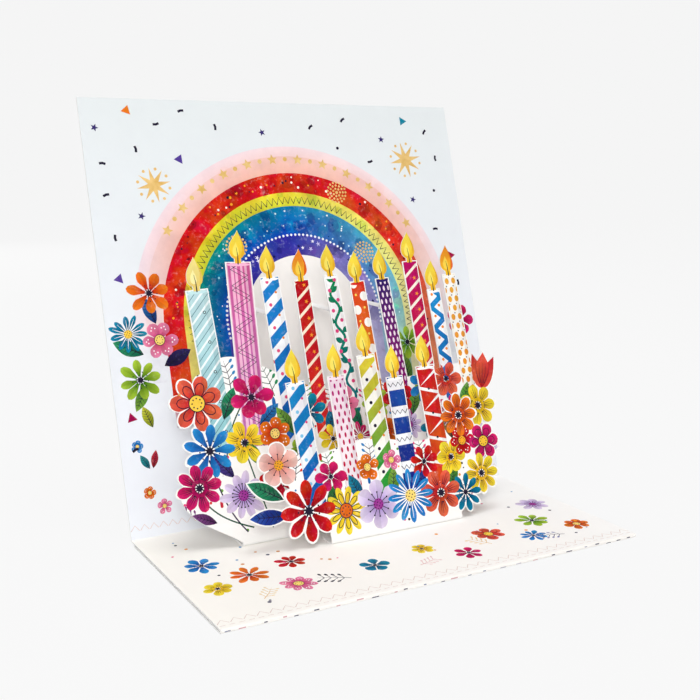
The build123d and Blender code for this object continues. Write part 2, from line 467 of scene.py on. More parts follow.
def draw_doodle(sheet, x, y, size, kind, ink):
    """Small pen drawing on white paper: a flower of rings, a heart or a drop."""
    if kind == "flower":
        for i in range(5):
            ring = dot(*polar(x, y, 0.62 * size, 18 + 72 * i), 0.36 * size, 9)
            sheet.pen(ring + ring[:1], 0.2, ink)
        sheet.add(dot(x, y, 0.2 * size), ink)
    elif kind == "heart":
        unit = 0.06 * size
        line = []
        for i in range(21):
            a = 2 * math.pi * i / 20
            v = 13 * math.cos(a) - 5 * math.cos(2 * a) - 2 * math.cos(3 * a) - math.cos(4 * a)
            line.append((x + unit * 16 * math.sin(a) ** 3, y + unit * v))
        sheet.pen(line, 0.22, ink)
    else:
        sheet.add([(x + u, y + v) for u, v in flame_shape(0.9 * size, 2.2 * size, 0.1)], ink, 0.6)


# Patterns of the candles: each is marked on the wax between two heights
def rows(low, high, pitch, first=0):
    """Number and height of each row of a pattern that repeats up a candle."""
    return [(i, low + pitch * i) for i in range(first, int((high - low) / pitch) + 2)]


def spiral(mark, half, low, high, inks):
    for _, v in rows(low, high, 7.0, -1):
        mark(slant(half, v, 4.8, 3.6), inks[0], 0.9)
        mark(dot(-0.35 * half, v + 6.4, 0.55, 9), inks[1], 0.2)
        mark(dot(0.45 * half, v + 3.1, 0.4, 9), inks[2], 0.2)


def thin_spiral(mark, half, low, high, inks):
    for i, v in rows(low, high, 5.2, -1):
        mark(slant(half, v, 3.9, 1.1), inks[0], 0.2)
        mark(star(0.3 * half, v + 5.2, 0.75, 0.3, 5, 30.0 * i), inks[1], 0.2)


def hairline(mark, half, low, high, inks):
    for i, v in rows(low, high, 2.2, -3):
        mark(stroke([(-half, v), (half, v + 6.4)], 0.6 if i % 2 else 0.2), inks[i % 2], 0.1)
        if i % 4 == 0:
            mark(dot(0.35 * half, v + 5.4, 0.5, 10), INK)
            mark(dot(0.35 * half, v + 5.4, 0.28), inks[2])


def pinstripe(mark, half, low, high, inks):
    for k, wide in enumerate((0.42, 0.2, 0.5, 0.3, 0.46)):
        u = -half + 2 * half * (k + 0.5) / 5
        mark(strip(u - wide, u + wide, low, high), inks[0], 0.7)
    for shift in (0.0, 1.3):
        line = [((-0.7 if i % 2 else 0.7) * half, v + shift) for i, v in rows(low, high, 3.1)]
        mark(stroke(line, 0.3), inks[1])


def zigzag(mark, half, low, high, inks):
    for _, v in rows(low, high, 7.2):
        mark(slant(half, v - 0.2, 3.2, 2.2), inks[0], 0.8)
        mark(slant(half, v + 7.0, -4.0, 2.2), inks[0], 0.8)
        mark(dot(0.45 * half, v + 1.2, 0.5, 9), inks[1], 0.2)
        mark(dot(-0.45 * half, v + 5.0, 0.5, 9), inks[1], 0.2)


def ovals(mark, half, low, high, inks):
    for i, v in rows(low, high, 3.0):
        for u in ((-0.5, 0.6) if i % 2 else (0.05, 1.1, -1.1)):
            mark(ellipse(u * half, v, 0.78, 1.05, n=12), inks[0], 0.8)
            mark(dot(u * half + 0.9, v + 1.3, 0.24, 7), inks[1])


def dashes(mark, half, low, high, inks):
    for i, v in rows(low, high, 2.1):
        for u in ((-0.72, 0.0, 0.72) if i % 2 else (-0.36, 0.36, 1.0)):
            mark(ellipse(u * half, v, 0.36, 0.82, n=10), inks[0], 0.4)


def blocks(mark, half, low, high, inks):
    for _, v in rows(low, high, 8.4):
        mark(strip(-half, half, v, v + 5.0), inks[0], 0.9)
        line = [(-half + 2 * half * k / 6, v + (6.1 if k % 2 else 7.3)) for k in range(7)]
        mark(stroke(line, 0.3), inks[1])


def bubbles(mark, half, low, high, inks):
    for i, v in rows(low, high, 4.2):
        side = -1 if i % 2 else 1
        mark(ellipse(side * 0.62 * half, v, 1.35, 1.5, n=16), inks[0], 0.1)
        mark(dot(-side * 0.5 * half, v + 0.6, 0.4), inks[1], 0.1)


def triangles(mark, half, low, high, inks):
    for _, v in rows(low, high, 7.6, -1):
        mark([(-half, v), (half, v + 4.6), (-half, v + 6.6)], inks[0], 0.9)
        mark([(half, v + 5.6), (half, v + 11.2), (-half, v + 7.6)], inks[0], 0.9)
        mark(dot(0.0, v + 6.6, 0.4), inks[1])


def vines(mark, half, low, high, inks):
    wave = [(0.55 * half * math.sin(0.55 * k), v) for k, v in rows(low, high, 0.8)]
    mark(stroke(wave, 0.9), inks[0], 0.3)
    for k in range(3, len(wave), 4):
        side = -1 if k % 8 < 4 else 1
        u, v = wave[k]
        mark(turned(leaf_shape(3.2, 1.8, 6), u, v, -side * 58), inks[0], 0.7)
        mark(dot(-side * 0.55 * half, v + 0.6, 0.62, 9), inks[1], 0.3)


def draw_flame(sheet, at, top, fire):
    """Wick and flame over the top of a candle."""
    foot_ink, tip_ink, side_ink, heart_ink = fire
    base = top + WICK
    sheet.add(at(strip(-1.0, 1.0, top - 0.5, top + 1.1)), foot_ink, 0.3)
    outer = [(1.02 * u, base + 1.02 * v - 0.1) for u, v in flame_shape(*FLAME)]
    lit = sheet.add(at(outer), line_wash(foot_ink, tip_ink, *at([(0, base), (0, base + 6)])), 0.6)
    side = [(0.9, base - 1), (3.2, base - 1), (3.2, base + 9), (0.9, base + 9), (1.9, base + 4)]
    sheet.add(at(side), side_ink, 0.6, clip=lit)
    heart = [(0.4 * u - 0.4, base + 0.8 + 0.5 * v) for u, v in flame_shape(*FLAME)]
    sheet.add(at(heart), heart_ink, 0.3)
    wick = [(0, top - MARGIN - 0.5), (0.12, base + 1.2), (-0.1, base + 3.6)]
    sheet.pen(at(wick), 0.42, taper=True)


def draw_candle(sheet, x, top, turn, width, pattern, wax, inks, fire, foot, low):
    """Candle with its pattern, wick and flame. The wax runs between two colours up the candle."""
    length = top - foot
    half = width / 2 - MARGIN
    high = length - MARGIN
    at = placer(x, foot, turn)

    def rising(first, second):
        return line_wash(first, second, *at([(0, 0), (0, length)]))

    body = sheet.add(at(strip(-half, half, low, high)), rising(*wax), 0.6)

    def mark(points, ink, wash=0.0):
        sheet.add(at(points), ink if isinstance(ink, str) else rising(*ink), wash, clip=body)

    pattern(mark, half, low, high, inks)
    sheet.shade(at(strip(0.5 * half, half, low, high)), body, 0.87)
    sheet.shade(at(strip(-half, -0.78 * half, low, high)), body, 0.93)
    mark(ellipse(0, high - 0.55, half, 0.5, n=20), wax[1], 0.2)
    draw_flame(sheet, at, length, fire)


# Meshes
def faces_of(node, keep):
    """Corners of a node's faces in millimetres: those for which keep(centre, normal) holds, and the rest."""
    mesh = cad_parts[node].data
    chosen, rest = [], []
    for face in mesh.polygons:
        corners = [tuple(mesh.vertices[i].co / MM) for i in face.vertices]
        (chosen if keep(face.center / MM, face.normal) else rest).append(corners)
    return chosen, rest


def loops_of(faces, flat):
    """Outlines of a flat group of faces, as points on the sheet."""
    edges = {}
    for face in faces:
        keys = [tuple(round(c, 3) for c in corner) for corner in face]
        for a, b in zip(keys, keys[1:] + keys[:1]):
            if a == b:
                continue
            if (b, a) in edges:
                del edges[(b, a)]
            else:
                edges[(a, b)] = True
    after = dict(edges.keys())
    loops = []
    while after:
        start, here = after.popitem()
        loop = [start]
        while here != start:
            loop.append(here)
            here = after.pop(here)
        loops.append([flat(p) for p in loop])
    return loops


def printed_faces(sheet, loops, place, ground):
    """Cuts the paper inside the outlines along every printed shape, and gives each cut its ink."""
    outer = [loop for loop in loops if loop_area(loop) > 0]
    holes = [loop for loop in loops if loop_area(loop) < 0]
    shapes = [{"points": p} for p in outer] + [{"points": p[::-1]} for p in holes]
    skip = len(shapes)
    shapes += sheet.shapes
    corners, faces = [], []
    for shape in shapes:
        faces.append(list(range(len(corners), len(corners) + len(shape["points"]))))
        corners.extend(Vector(p) for p in shape["points"])
    points, _, cuts, _, _, sources = delaunay_2d_cdt(corners, [], faces, 1, 1e-4, True)
    out = []
    for cut, ids in zip(cuts, sources):
        found = set(ids)
        if not any(i < len(outer) for i in found) or any(len(outer) <= i < skip for i in found):
            continue
        ink, wash, foil, tint = ground, 0.05, False, [1.0, 1.0, 1.0]
        for i in sorted(found, reverse=True):
            if i < skip:
                break
            shape = shapes[i]
            if shape["clip"] is not None and shape["clip"] + skip not in found:
                continue
            if shape["tint"] is not None:
                tint = [t * s for t, s in zip(tint, shape["tint"])]
                continue
            ink, wash, foil = shape["ink"], shape["wash"], shape["foil"]
            break
        colours = [[c * t for c, t in zip(ink_at(ink, *points[i]), tint)] + [wash] for i in cut]
        out.append(([place(*points[i]) for i in cut], colours, 1 if foil else 0))
    return out


def make_piece(name, node, printed, plain, materials):
    """One closed piece of paper: the printed faces, and the plain cut edges and back of the CAD node."""
    index, verts, faces, colours, slots = {}, [], [], [], []
    paper = linear(PAPER) + [0.0]
    for corners, inks, which in printed + [(c, None, 2) for c in plain]:
        face = []
        for corner in corners:
            key = tuple(round(c, 4) for c in corner)
            if key not in index:
                index[key] = len(verts)
                verts.append([c * MM for c in corner])
            face.append(index[key])
        if len(set(face)) < len(face):
            continue
        faces.append(face)
        slots.append(which)
        colours.extend(inks or [paper] * len(face))
    mesh = bpy.data.meshes.new(name)
    mesh.from_pydata(verts, [], faces)
    for material in materials:
        mesh.materials.append(material)
    mesh.polygons.foreach_set("material_index", slots)
    layer = mesh.color_attributes.new("print", "FLOAT_COLOR", "CORNER")
    layer.data.foreach_set("color", [c for colour in colours for c in colour])
    mesh.update()
    piece = bpy.data.objects.new(name, mesh)
    bpy.context.scene.collection.objects.link(piece)
    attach(piece, "root")
    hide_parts(node)


def on_sheet(depth):
    """Place of a point on a leaning sheet, whose foot is a depth in front of the main fold."""
    return lambda x, v: (x, FOLD_Y - depth + v * math.sin(LEAN), BASE_TOP + v * math.cos(LEAN))


def from_sheet(depth):
    return lambda p: (p[0], (p[1] - FOLD_Y + depth) * math.sin(LEAN) + (p[2] - BASE_TOP) * math.cos(LEAN))


def faces_front(depth):
    """Test for the printed face of a leaning sheet."""
    normal = Vector((0, -math.cos(LEAN), math.sin(LEAN)))
    foot = Vector((0, FOLD_Y - depth, BASE_TOP))
    return lambda centre, direction: direction.dot(normal) > 0.999 and abs((centre - foot).dot(normal)) < 0.05


# Materials
class Graph:
    """Shader nodes of one material or world. A value is a constant, or another node's output."""

    def __init__(self, tree):
        self.nodes = tree.nodes
        self.links = tree.links

    def feed(self, socket, value):
        if isinstance(value, (int, float, tuple)):
            socket.default_value = value
        else:
            self.links.new(value, socket)

    def add(self, kind, inputs):
        node = self.nodes.new("ShaderNode" + kind)
        for name, value in inputs.items():
            self.feed(node.inputs[name], value)
        return node

    def noise(self, scale, detail, roughness=0.55):
        coord = self.nodes.new("ShaderNodeTexCoord").outputs["Object"]
        inputs = {"Vector": coord, "Scale": scale, "Detail": detail, "Roughness": roughness}
        return self.add("TexNoise", inputs).outputs["Fac"]

    def spread(self, value, low, high, out_low, out_high):
        """Value moved from one range to another."""
        inputs = {"Value": value, "From Min": low, "From Max": high, "To Min": out_low, "To Max": out_high}
        return self.add("MapRange", inputs).outputs["Result"]

    def maths(self, operation, a, b):
        node = self.add("Math", {0: a, 1: b})
        node.operation = operation
        return node.outputs[0]

    def blend(self, mode, factor, first, second):
        node = self.nodes.new("ShaderNodeMix")
        node.data_type = "RGBA"
        node.blend_type = mode
        self.feed(node.inputs["Factor"], factor)
        colours = [socket for socket in node.inputs if socket.type == "RGBA"]
        for socket, value in zip(colours, (first, second)):
            self.feed(socket, value)
        return [socket for socket in node.outputs if socket.type == "RGBA"][0]

    def seen(self):
        """1 where the camera sees a place, also by gloss or glass, and 0 where the place lights others."""
        rays = self.nodes.new("ShaderNodeLightPath").outputs
        direct = self.maths("MAXIMUM", rays["Is Camera Ray"], rays["Is Glossy Ray"])
        return self.maths("MAXIMUM", direct, rays["Is Transmission Ray"])

    def show(self, output, factor, first, second):
        """Sends a mix of two shaders to the output."""
        mixed = self.add("MixShader", {0: factor, 1: first, 2: second})
        self.links.new(mixed.outputs["Shader"], self.nodes[output].inputs["Surface"])


def new_material(name):
    material = bpy.data.materials.new(name)
    material.use_nodes = True
    graph = Graph(material.node_tree)
    return material, graph, graph.nodes["Principled BSDF"].inputs


def paper_grain(graph, shader, strength):
    fibre = graph.noise(2600.0, 4.0, 0.65)
    inputs = {"Strength": strength, "Distance": 0.00006, "Height": fibre}
    graph.feed(shader["Normal"], graph.add("Bump", inputs).outputs["Normal"])
    graph.feed(shader["Roughness"], graph.spread(fibre, 0.3, 0.7, 0.52, 0.68))


def printed_card():
    """Card with watercolour print: the ink pools and thins over the paper where its wash is strong."""
    material, graph, shader = new_material("printed_card")
    ink = graph.nodes.new("ShaderNodeVertexColor")
    ink.layer_name = "print"
    wash = ink.outputs["Alpha"]
    pools = graph.spread(graph.noise(105.0, 8.0, 0.68), 0.39, 0.66, 0.0, 1.0)
    grains = graph.spread(graph.noise(700.0, 4.0, 0.7), 0.54, 0.76, 0.0, 1.0)
    hue = graph.spread(graph.noise(150.0, 5.0, 0.6), 0.34, 0.66, 0.489, 0.511)
    drift = {"Hue": hue, "Fac": graph.maths("MINIMUM", wash, 1.0), "Color": ink.outputs["Color"]}
    colour = graph.add("HueSaturation", drift).outputs["Color"]
    dark = graph.maths("MULTIPLY", graph.maths("MULTIPLY", pools, wash), 0.6)
    deep = graph.blend("MULTIPLY", dark, colour, (0.5, 0.42, 0.5, 1.0))
    thin = graph.maths("MULTIPLY", graph.maths("SUBTRACT", 1.0, pools), grains)
    pale = graph.maths("MULTIPLY", graph.maths("MULTIPLY", thin, wash), 0.2)
    graph.feed(shader["Base Color"], graph.blend("MIX", pale, deep, (0.96, 0.94, 0.92, 1.0)))
    shader["Specular IOR Level"].default_value = 0.04
    paper_grain(graph, shader, 0.2)
    return material


def gold_foil():
    material, graph, shader = new_material("gold_foil")
    tone = graph.spread(graph.noise(320.0, 3.0), 0.35, 0.65, 0.0, 1.0)
    colour = graph.blend("MIX", tone, (0.72, 0.44, 0.12, 1.0), (0.86, 0.6, 0.24, 1.0))
    graph.feed(shader["Base Color"], colour)
    graph.feed(shader["Roughness"], graph.spread(graph.noise(2400.0, 3.0), 0.3, 0.7, 0.3, 0.46))
    shader["Metallic"].default_value = 0.8
    return material


def plain_card():
    material, graph, shader = new_material("plain_card")
    tone = graph.spread(graph.noise(420.0, 5.0, 0.7), 0.3, 0.7, 0.0, 1.0)
    colour = graph.blend("MIX", tone, (0.9, 0.89, 0.87, 1.0), (0.95, 0.945, 0.93, 1.0))
    graph.feed(shader["Base Color"], colour)
    shader["Specular IOR Level"].default_value = 0.1
    paper_grain(graph, shader, 0.3)
    return material


card_inks = [printed_card(), gold_foil(), plain_card()]

# Rear layer: candles as place of the foot, top, lean, width, pattern, wax, inks and flame
REAR_CANDLES = (
    (-42, 75.5, 3, 7, hairline, ("#9fd6dc", "#c6e8ea"), ("#5c8a94", "#f1fafa", "#c6e8ea"), PALE_FIRE),
    (-31.6, 83, -2, 8.2, pinstripe, ("#f3c3dc", "#f7b7d4"), (("#c56db0", "#d95fa0"), INK), YELLOW_FIRE),
    (-19, 78, 2, 6.4, spiral, ("#f3f9fd", WHITE),
     (("#1467b8", "#1f86cf"), "#e5527f", ORANGE), YELLOW_FIRE),
    (-9.2, 76.5, 1, 5.2, thin_spiral, ("#d8242a", "#b80f1b"), ("#fbe7cf", "#f3962f"), ORANGE_FIRE),
    (2.5, 77.5, 3, 4.8, vines, ("#fffdf8", WHITE), (("#0d6f7c", "#12874f"), ROSE), YELLOW_FIRE),
    (10.9, 75, 2, 5.4, bubbles, ("#f39a2a", "#d9231f"), ("#fffaf2", "#fbd85c"), YELLOW_FIRE),
    (20.9, 75.5, 3, 5, dashes, ("#9a1a78", "#2c2168"), ("#f6e3f0",), YELLOW_FIRE),
    (31.3, 80.5, 1.5, 5.6, thin_spiral, ("#d6222a", "#b90f63"), ("#fdeee2", "#f3962f"), YELLOW_FIRE),
    (39, 70.8, 2, 5, zigzag, ("#fbfdff", WHITE), (("#1b5fb0", "#1f90cf"), ORANGE), YELLOW_FIRE),
    (46.3, 75.5, 2.5, 5.2, ovals, ("#fffaf0", "#fffdf6"), (("#ea8a24", "#f4b73c"), INK), ORANGE_FIRE),
)
# Flowers as place, radius, petals, turn, inks and style: those on the cut edge, and those inside it
REAR_FLOWERS = (
    (-48.5, 42.5, 8.6, 7, 20, "coral", "double"),
    (-46.5, 28.5, 8.4, 9, 0, "blue", "daisy"),
    (-51, 18.5, 7.4, 8, 8, "magenta", "veined"),
    (42, 10, 7.4, 6, 0, "orange", "veined"),
    (48, 19, 7, 10, 12, "lilac", "stamens"),
    (48.5, 31, 7.4, 7, 0, "yellow", "veined"),
)
REAR_PRINTED = (
    (-31.5, 42.5, 7.2, 6, 8, "magenta", "daisy"),
    (-35.5, 29.5, 6.8, 7, 0, "yellow", "veined"),
    (-38, 14.5, 7.4, 10, 0, "lilac", "stamens"),
    (-25.5, 31, 5.6, 6, 20, "orange", "dotted"),
    (-26.5, 18.5, 6.6, 8, 0, "red", "daisy"),
    (-13.5, 36, 6, 7, 12, "teal", "daisy"),
    (-1.5, 37, 6.2, 6, 0, "pink", "stamens"),
    (10, 36, 5.4, 8, 0, "green", "veined"),
    (18.5, 37.5, 6.2, 6, 10, "red", "double"),
    (28.5, 40, 6, 7, 0, "blue", "daisy"),
    (37.5, 41, 5.8, 6, 0, "coral", "veined"),
    (37, 30, 5.6, 9, 0, "magenta", "rays"),
    (-17.5, 25, 4.6, 6, 0, "green", "stamens"),
    (-6.5, 27, 5, 7, 0, "yellow", "daisy"),
    (3, 26.5, 4.6, 8, 10, "magenta", "rays"),
    (12.5, 27, 5, 6, 0, "orange", "veined"),
    (21.5, 28, 4.8, 9, 12, "lilac", "stamens"),
    (30, 26.5, 4.8, 6, 0, "teal", "daisy"),
)
BANK_DOTS = (ROSE, AMBER, SKY, LIME, INK, INK)

rear = Sheet()
strew(rear, 11, 90, (-56, 44), (4, 54), (0.28, 0.6), BANK_DOTS + (SCARLET,))
draw_each(draw_stem, rear, (
    ((-47, 26), (-45, 16), (-43, 10), (-38, 4), PLUM),
    ((-51, 16), (-48, 11), (-44, 8), (-36, 5), STEM),
    ((-34, 42), (-38, 36), (-40, 34), (-42, 24), STEM),
    ((-36, 29), (-34, 20), (-32, 12), (-30, 4), STEM),
))
draw_each(draw_sprig, rear, (
    (-37.5, 45, 9, 8, INK, SKY),
    (-24, 42, 10, 18, STEM, "#2d8a5a"),
    (-14.5, 39, 8, -10, STEM, LIME),
    (-4, 37, 8, 14, INK, SCARLET),
    (6.5, 36, 8, -6, STEM, ROSE),
    (15.5, 36, 8, 8, INK, SKY),
    (26, 38, 8, -8, STEM, AMBER),
    (-52, 9.5, 7, 60, PLUM, "#7a3a7a"),
))
draw_each(draw_doodle, rear, (
    (-36.5, 47.5, 1.3, "flower", INK),
    (-25, 46, 1.2, "heart", INK),
    (-24.5, 39, 1.3, "drop", BLUE),
    (-40.5, 33.5, 1.1, "drop", JADE),
    (-43.5, 20.5, 1.2, "heart", INK),
    (-31.5, 8, 1.4, "flower", INK),
    (-45, 12, 1, "drop", CRIMSON),
    (-14, 44, 1.2, "flower", INK),
    (-3.5, 43, 1.1, "drop", ROSE),
    (7, 42.5, 1.3, "flower", INK),
    (16.5, 44.5, 1.1, "heart", INK),
    (25.5, 45, 1.3, "flower", CRIMSON),
    (35.5, 46.5, 1.1, "drop", BLUE),
    (-12, 30.5, 1.1, "heart", INK),
    (-1.8, 31, 1, "drop", "#7a2a94"),
    (8, 31, 1.1, "heart", CRIMSON),
    (17, 32, 1.1, "flower", INK),
    (26, 33, 1, "heart", INK),
    (-12.5, 21.5, 1.1, "flower", INK),
    (-1.5, 22, 1, "heart", INK),
    (7.8, 22, 1, "drop", JADE),
    (17, 22.5, 1.1, "heart", CRIMSON),
    (26, 22, 1.1, "flower", INK),
))
draw_each(draw_candle, rear, REAR_CANDLES, REAR_FOOT, REAR_LOW)

# Tulip on the cut edge: its print is smaller than the cut and stands a little above its foot
TULIP_TURN = -12.0
TULIP_WIDTH = 9.5 - 0.7
TULIP_HEIGHT = 13.0 - 0.9
tulip_foot = turned([(0, 0.45)], 51.0, 36.0, TULIP_TURN)[0]
draw_tulip(rear, *tulip_foot, TULIP_WIDTH, TULIP_HEIGHT, TULIP_TURN, "#b5101c", "#f05a48")

draw_each(draw_leaf, rear, (
    (-41, 37, 10, 4.4, -26, "fern"),
    (-40, 20, 9, 3.8, 40, "violet"),
    (-30, 34, 9, 3.8, -50, "sky"),
    (-31, 22, 9, 3.6, 26, "moss"),
    (-19, 30, 10, 4, 30, "grass"),
    (-8, 29, 9, 3.8, -24, "sea"),
    (4, 29, 9, 3.6, 22, "fern"),
    (23, 31, 10, 4, -18, "grass"),
    (33, 33, 10, 4, 14, "bark"),
    (42, 30, 10, 4, -22, "moss"),
    (-47, 8, 8, 3, 66, "plum"),
))
draw_each(draw_flower, rear, REAR_PRINTED)
draw_each(draw_flower, rear, REAR_FLOWERS, MARGIN)

# Front layer, in the same order as the rear one
FRONT_CANDLES = (
    (-20.4, 48.3, 3, 6.2, spiral, ("#f3f9fd", WHITE),
     (("#1467b8", "#1d97d6"), "#7fc4e8", ROSE), YELLOW_FIRE),
    (-7.5, 48.7, 1.5, 6, dashes, ("#fdf0f5", "#fbe3ee"), (("#c4163a", "#b01a7a"),), YELLOW_FIRE),
    (4.2, 54, 2.5, 6.4, spiral, ("#fffff4", "#fffdf0"), (("#2f9a3c", "#ecd83a"), INK, ORANGE), YELLOW_FIRE),
    (12.4, 46.5, 1.5, 6, blocks, ("#fafcff", WHITE), (("#1a2c86", "#2350ac"), INK), YELLOW_FIRE),
    (24.4, 48.8, 2.5, 6.8, triangles, ("#fffaf6", WHITE), (("#e0451f", "#c9141f"), INK), YELLOW_FIRE),
)
FRONT_FLOWERS = (
    (-30.5, 25, 6.8, 5, 18, "blush", "stamens"),
    (33, 32, 7.2, 8, 0, "orange", "veined"),
    (41, 22.8, 6.2, 6, 0, "magenta", "double"),
    (38.5, 13, 6.8, 8, 0, "yellow", "veined"),
    (31.5, 8, 6.4, 9, 0, "teal", "daisy"),
    (-11, 9, 7.6, 11, 9, "yellow", "double"),
    (22.5, 9.2, 7.8, 7, 12, "coral", "veined"),
    (0, 9.2, 7.8, 6, 30, "lilac", "stamens"),
    (11.5, 10, 8.6, 12, 0, "blue", "rays"),
    (-23, 10.8, 9.4, 8, 0, "red", "daisy"),
)
FRONT_PRINTED = (
    (-14.5, 19.5, 5.2, 6, 0, "magenta", "daisy"),
    (-2, 20.5, 4.2, 5, 18, "orange", "dotted"),
    (18, 19.5, 5.2, 7, 10, "red", "daisy"),
    (28, 19.5, 5.8, 6, 0, "yellow", "veined"),
    (33, 24, 5, 6, 0, "red", "dotted"),
    (6.5, 21.5, 3.4, 5, 0, "pink", "dotted"),
)
front = Sheet()
strew(front, 5, 70, (-27, 34), (3, 29), (0.25, 0.5), BANK_DOTS)
draw_each(draw_sprig, front, (
    (-14.5, 19, 7.5, 6, STEM, LIME),
    (-1, 19, 8.5, -4, INK, SKY),
    (17.5, 18, 8, 4, STEM, ROSE),
    (-26, 20, 8.5, -8, INK, SCARLET),
))
draw_each(draw_doodle, front, (
    (-25.5, 20.5, 1.2, "heart", INK),
    (-12.5, 26.5, 1.2, "flower", INK),
    (-1.5, 27, 1.1, "heart", INK),
    (8.5, 26, 1.2, "flower", CRIMSON),
    (18, 26.5, 1.2, "heart", INK),
    (-2, 15.5, 1, "drop", BLUE),
    (-17, 24.5, 1, "drop", CRIMSON),
    (17, 15, 1.2, "flower", INK),
))
draw_each(draw_candle, front, FRONT_CANDLES, FRONT_FOOT, FRONT_LOW)

# Leaves on the cut edge: their print is smaller than the cut too
LEAF_LENGTH = 13.0 - 0.9
LEAF_WIDTH = 5.0 - 0.6
for x, v, turn, tone in ((-29.0, 10.5, 86.0, "navy"), (-30.0, 15.0, 60.0, "fern")):
    leaf_foot = turned([(0, 0.4)], x, v, turn)[0]
    draw_leaf(front, *leaf_foot, LEAF_LENGTH, LEAF_WIDTH, turn, tone)

draw_each(draw_leaf, front, (
    (-17, 10, 10, 3.9, -34, "forest"),
    (-5, 11, 9, 3.9, 24, "sea"),
    (5.5, 10, 9.5, 3.9, -8, "grass"),
    (17, 10, 9, 3.9, 14, "navy"),
    (27, 10, 9, 3.9, -10, "moss"),
    (29.5, 25, 9, 3.9, 8, "bark"),
))
draw_each(draw_flower, front, FRONT_PRINTED)
draw_each(draw_flower, front, FRONT_FLOWERS, MARGIN)

for name, node, slot_name, sheet, depth in (
    ("printed_rear_layer", "rear_candle_layer", "rear_sheet", rear, REAR_DEPTH),
    ("printed_front_layer", "front_candle_layer", "front_sheet", front, FRONT_DEPTH),
):
    face, rest = faces_of(node, faces_front(depth))
    cuts = printed_faces(sheet, loops_of(face, from_sheet(depth)), on_sheet(depth), PAPER)
    make_piece(name, node, cuts, rest, card_inks)


# Back panel: a plain rainbow, flowers on the left, confetti and gold ornaments
def on_arch(radius, degrees):
    return polar(0.0, ARCH_V, radius, degrees)


def arch(radius, foot):
    """Outline of a round arch on two straight legs."""
    ring = [on_arch(radius, 3.0 * i) for i in range(61)]
    legs = [ARCH_V + (foot - ARCH_V) * k / 10 for k in range(10, 0, -1)]
    return [(radius, v) for v in legs] + ring + [(-radius, v) for v in reversed(legs)]


# Bands: outer and inner radius, foot, wash, and the colours from left to right of the outer and inner edge
BANDS = (
    (57.5, 53, 45, 0.3, (PANEL, "#f6dfe4", "#f7e0e2", "#f6dfe2", PANEL),
     (PANEL, "#f6d3d4", "#f7d2ce", "#f7d3cf", PANEL)),
    (54.2, 48.5, 45, 0.4, (PANEL, "#f5cfca", "#f6cabf", "#f6ccc4", PANEL),
     (PANEL, "#f5c0b2", "#f6bda9", "#f6c2b4", PANEL)),
    (48.5, 42, 31, 1.4, ("#e2341e", "#e62016", "#dc1418", "#e83420", "#f48c60"),
     ("#e8461f", "#ea2c14", "#e01a16", "#f04e28", "#f7a070")),
    (42, 37.4, 28, 1, ("#f6e67a", "#f6e434", "#fce83e", "#fcea7c", "#faf2b8"),
     ("#ece67a", "#ccd434", "#e0de3a", "#eef08c", "#f2f5bc")),
    (37.4, 27.8, 24, 1.5, ("#0f9a7c", "#069a86", "#0788b8", "#58b8d4", "#b4e2c4"),
     ("#1566c4", "#0a58c4", "#0c46b8", "#5c96da", "#a4d2ea")),
    (27.8, 21, 22, 1.4, ("#4a4ab8", "#2030a0", "#2a2ca6", "#8484d2", "#c2c2ee"),
     ("#6a5ac0", "#3a32a8", "#4a40b2", "#a09adc", "#dad6f4")),
)
# Blooms of wet paint on a band: the band, inner and outer radius, their number and their tints
BLOOMS = (
    (0, 49, 56.5, 16, ((1, 0.95, 0.93), (1, 0.97, 0.98), (1.01, 1.03, 1.04))),
    (2, 42, 48.5, 34, ((0.66, 0.6, 0.7), (0.82, 0.7, 0.8), (1.05, 1.6, 1), (0.76, 0.7, 0.8))),
    (3, 37.4, 42, 22, ((0.88, 0.95, 0.8), (1, 0.9, 0.7), (0.8, 0.92, 0.8))),
    (4, 27.8, 37.4, 44,
     ((0.6, 0.62, 0.72), (0.8, 1.25, 1.0), (1.3, 1.2, 0.95), (0.8, 0.6, 0.8), (1.0, 1.4, 1.1))),
    (5, 21, 27.8, 24, ((0.7, 0.7, 0.75), (1.3, 1.2, 1.15), (1.2, 0.9, 1))),
)
BLOOM_CORNERS = 15

panel = Sheet()
bands = []
for radius, inner, foot, wash, outer_inks, inner_inks in BANDS:
    bands.append(panel.add(arch(radius, foot), arch_wash(inner_inks, outer_inks, inner, radius, foot), wash))
scatter = random.Random(41)
for band, inner, radius, count, tints in BLOOMS:
    for k in range(count):
        reach = scatter.uniform(1.0, 3.4)
        x, v = on_arch(scatter.uniform(inner + 0.3 * reach, radius - 0.3 * reach), scatter.uniform(-8, 188))
        bloom = []
        for i in range(BLOOM_CORNERS):
            size = reach * scatter.uniform(0.62, 1.0)
            u, w = polar(0.0, 0.0, size, 360 * i / BLOOM_CORNERS)
            bloom.append((u, 0.8 * w))
        panel.shade(turned(bloom, x, v, scatter.uniform(0, 180)), bands[band], scatter.choice(tints))
panel.add(arch(21.0, 20.0), line_wash(PANEL, "#fdf9f4", (0, 22), (0, 40)), 0.06)

